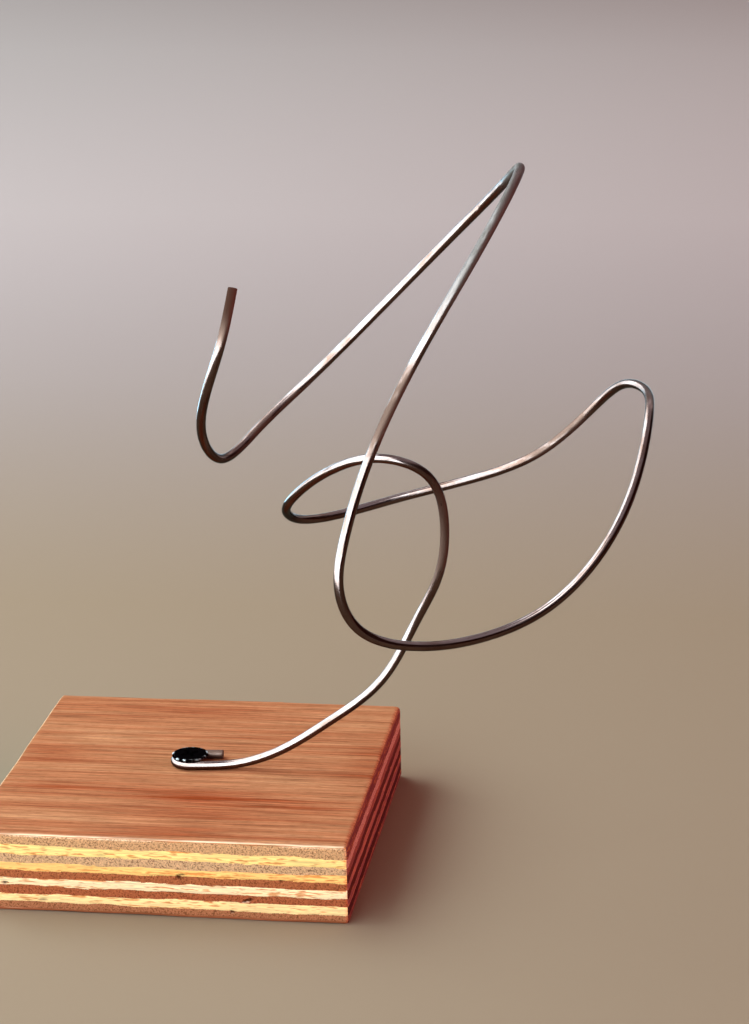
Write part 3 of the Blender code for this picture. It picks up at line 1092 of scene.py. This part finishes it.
def screw_material(settings):
    """Black phosphated steel, the dull coating of a drywall screw, rubbed bright on its rim.

    The eye gets a nearly black, slightly grainy surface and thin glints along the rim.
    """
    material, tree, shader = new_material("Black_phosphated_steel")
    coordinates = add_node(tree, "TexCoord")
    # phosphate crystals are 0.01 mm, drawn as a 0.15 mm grain so that they show
    crystals = add_node(
        tree, "TexNoise",
        {"Vector": coordinates.outputs["Object"], "Scale": 1 / (0.15 * MM), "Detail": 3.0},
    )
    rubbing = add_node(
        tree, "TexNoise",
        {"Vector": coordinates.outputs["Object"], "Scale": 1 / (1.2 * MM), "Detail": 3.0},
    )
    rim = add_node(tree, "Attribute", attribute_name="rim")
    worn = add_node(
        tree, "MapRange", {"Value": rubbing, "From Min": 0.48, "From Max": 0.62, "To Max": 0.85}
    )
    bare = add_node(tree, "Math", {0: worn, 1: rim.outputs["Fac"]}, operation="MULTIPLY")
    colour = add_node(
        tree, "Mix", {0: bare, 6: tuple(settings.coating), 7: linear("7C756E")}, data_type="RGBA"
    )
    gloss = add_node(
        tree, "MapRange",
        {"Value": crystals, "From Min": 0.3, "From Max": 0.7, "To Min": 0.5, "To Max": 0.7},
    )
    relief = add_node(tree, "Bump", {"Height": crystals, "Strength": 0.4, "Distance": 0.02 * MM})
    fill(tree, shader, {"Base Color": colour, "Metallic": bare, "Roughness": gloss, "Normal": relief})
    # the crystals trap the light that a smooth coating would mirror
    fill(tree, shader, {"Specular IOR Level": 0.0})
    return material


class SCULPTURE_OT_screw(bpy.types.Operator):
    """Build the black screw with its bugle head, cross recess and thread"""

    bl_idname = "sculpture.screw"
    bl_label = "Fixing Screw"

    def execute(self, context):
        settings = context.scene.sculpture_screw
        top = PLINTH_HIGH.z
        verts, faces, rim = screw_mesh(top)
        screw = mesh_object("black_screw_form", verts, faces)
        store(screw, "rim", "FLOAT", rim)
        cut_recess(screw, settings, top)
        if not screw.data.polygons:
            raise RuntimeError("the screw's mesh is empty")
        dress(screw, screw_material(settings), "fixing_screw")
        return {"FINISHED"}


# Stage -------------------------------------------------------------------------------------------


def floor_material(settings):
    """Matt board, painted a plain pale colour that cools and pales towards the back."""
    material, tree, shader = new_material("Matt_painted_board")
    coordinates = add_node(tree, "TexCoord")
    place = add_node(tree, "SeparateXYZ", {0: coordinates.outputs["Object"]})
    back = add_node(tree, "MapRange", {"Value": place.outputs["Y"], "From Min": 0.16, "From Max": 1.3})
    stops = [
        (0.0, tuple(settings.floor)),
        (0.22, tuple(settings.backdrop)),
        (0.5, linear("BCBCB7")),
        (1.0, linear("CFD8D2")),
    ]
    colour = add_node(tree, "ValToRGB", {"Fac": back}, stops)
    colour.color_ramp.interpolation = "B_SPLINE"
    # dead matt: emulsion paint mirrors nothing
    fill(tree, shader, {"Base Color": colour, "Roughness": 0.9, "Specular IOR Level": 0.0})
    return material


def add_softbox(name, place, size, radiance, colour, glossy):
    """A rectangular light facing the sculpture, from its azimuth, distance and height.

    Azimuth 0 is the back and 90 the right. One with no distance hangs overhead. A glossy one
    is an upright reflection card, which shows in the metal and casts no light on the wood or
    the floor.
    """
    light = bpy.data.lights.new(name, "AREA")
    light.shape = "RECTANGLE"
    light.size, light.size_y = size
    light.energy = radiance * size[0] * size[1] * math.pi
    light.color = linear(colour)[:3]
    box = bpy.data.objects.new(name, light)
    azimuth, distance, height = place
    turn = math.radians(azimuth)
    way = Vector((math.sin(turn), math.cos(turn), 0.0))
    box.location = way * distance + Vector((0.0, 0.0, height))
    if distance:
        box.rotation_mode = "QUATERNION"
        box.rotation_quaternion = (way if glossy else box.location).to_track_quat("Z", "Y")
    box.visible_camera = False
    box.visible_diffuse = not glossy
    box.visible_glossy = glossy
    bpy.context.scene.collection.objects.link(box)


def add_camera(settings):
    camera = bpy.data.cameras.new("camera")
    camera.lens = settings.lens
    camera.sensor_width = 36.0
    camera.dof.use_dof = False
    camera.clip_start = 0.05
    camera.clip_end = 20.0
    viewer = bpy.data.objects.new("camera", camera)
    forward = Vector(
        (
            -math.sin(CAMERA_YAW) * math.cos(CAMERA_PITCH),
            math.cos(CAMERA_YAW) * math.cos(CAMERA_PITCH),
            -math.sin(CAMERA_PITCH),
        )
    )
    level = Vector((math.cos(CAMERA_YAW), math.sin(CAMERA_YAW), 0.0))
    upright = level.cross(forward)
    right = math.cos(CAMERA_ROLL) * level + math.sin(CAMERA_ROLL) * upright
    up = math.cos(CAMERA_ROLL) * upright - math.sin(CAMERA_ROLL) * level
    axes = Matrix((right, up, -forward)).transposed().to_4x4()
    viewer.matrix_world = Matrix.Translation(CAMERA_PLACE) @ axes
    bpy.context.scene.collection.objects.link(viewer)
    bpy.context.scene.camera = viewer


class SCULPTURE_OT_stage(bpy.types.Operator):
    """Set the floor, the soft lights and the camera"""

    bl_idname = "sculpture.stage"
    bl_label = "Stage and Lights"

    def execute(self, context):
        settings = context.scene.sculpture_stage
        turns = [2 * math.pi * k / FLOOR_SIDES for k in range(FLOOR_SIDES)]
        rim = [(FLOOR_RADIUS * math.cos(turn), FLOOR_RADIUS * math.sin(turn), 0) for turn in turns]
        floor = mesh_object("floor", rim, [range(FLOOR_SIDES)], smooth=False)
        floor.data.materials.append(floor_material(settings))

        for name, place, size, radiance, colour in SOFTBOXES:
            add_softbox(name, place, size, radiance, colour, glossy=False)
        for name, place, size, radiance, colour in CARDS:
            add_softbox(name, place, size, radiance, colour, glossy=True)
        world = bpy.data.worlds.new("studio")
        world.use_nodes = True
        ground = world.node_tree.nodes["Background"]
        ground.inputs["Color"].default_value = linear("54281A")
        ground.inputs["Strength"].default_value = 1.0
        context.scene.world = world
        context.scene.view_settings.view_transform = "Standard"
        add_camera(settings)
        return {"FINISHED"}


class SCULPTURE_PT_panel(bpy.types.Panel):
    """The sculpture's pieces and their sizes and colours"""

    bl_label = "Wire Sculpture"
    bl_idname = "SCULPTURE_PT_panel"
    bl_space_type = "VIEW_3D"
    bl_region_type = "UI"
    bl_category = "Wire Sculpture"

    def draw(self, context):
        for operator, settings in PIECES:
            box = self.layout.box()
            box.operator(operator.bl_idname)
            group = getattr(context.scene, settings)
            for name in type(group).__annotations__:
                box.prop(group, name)


PIECES = (
    (SCULPTURE_OT_plinth, "sculpture_plinth"),
    (SCULPTURE_OT_wire, "sculpture_wire"),
    (SCULPTURE_OT_screw, "sculpture_screw"),
    (SCULPTURE_OT_stage, "sculpture_stage"),
)
GROUPS = {
    "sculpture_plinth": PlinthSettings,
    "sculpture_wire": WireSettings,
    "sculpture_screw": ScrewSettings,
    "sculpture_stage": StageSettings,
}
OPERATORS = tuple(operator for operator, _ in PIECES)


def register():
    for kind in (*GROUPS.values(), *OPERATORS, SCULPTURE_PT_panel):
        bpy.utils.register_class(kind)
    for name, group in GROUPS.items():
        setattr(bpy.types.Scene, name, PointerProperty(type=group))


def unregister():
    for name in GROUPS:
        delattr(bpy.types.Scene, name)
    for kind in reversed((*GROUPS.values(), *OPERATORS, SCULPTURE_PT_panel)):
        bpy.utils.unregister_class(kind)


def main():
    register()
    bpy.ops.sculpture.plinth()
    bpy.ops.sculpture.wire()
    bpy.ops.sculpture.screw()
    bpy.ops.sculpture.stage()


if __name__ == "__main__":
    main()
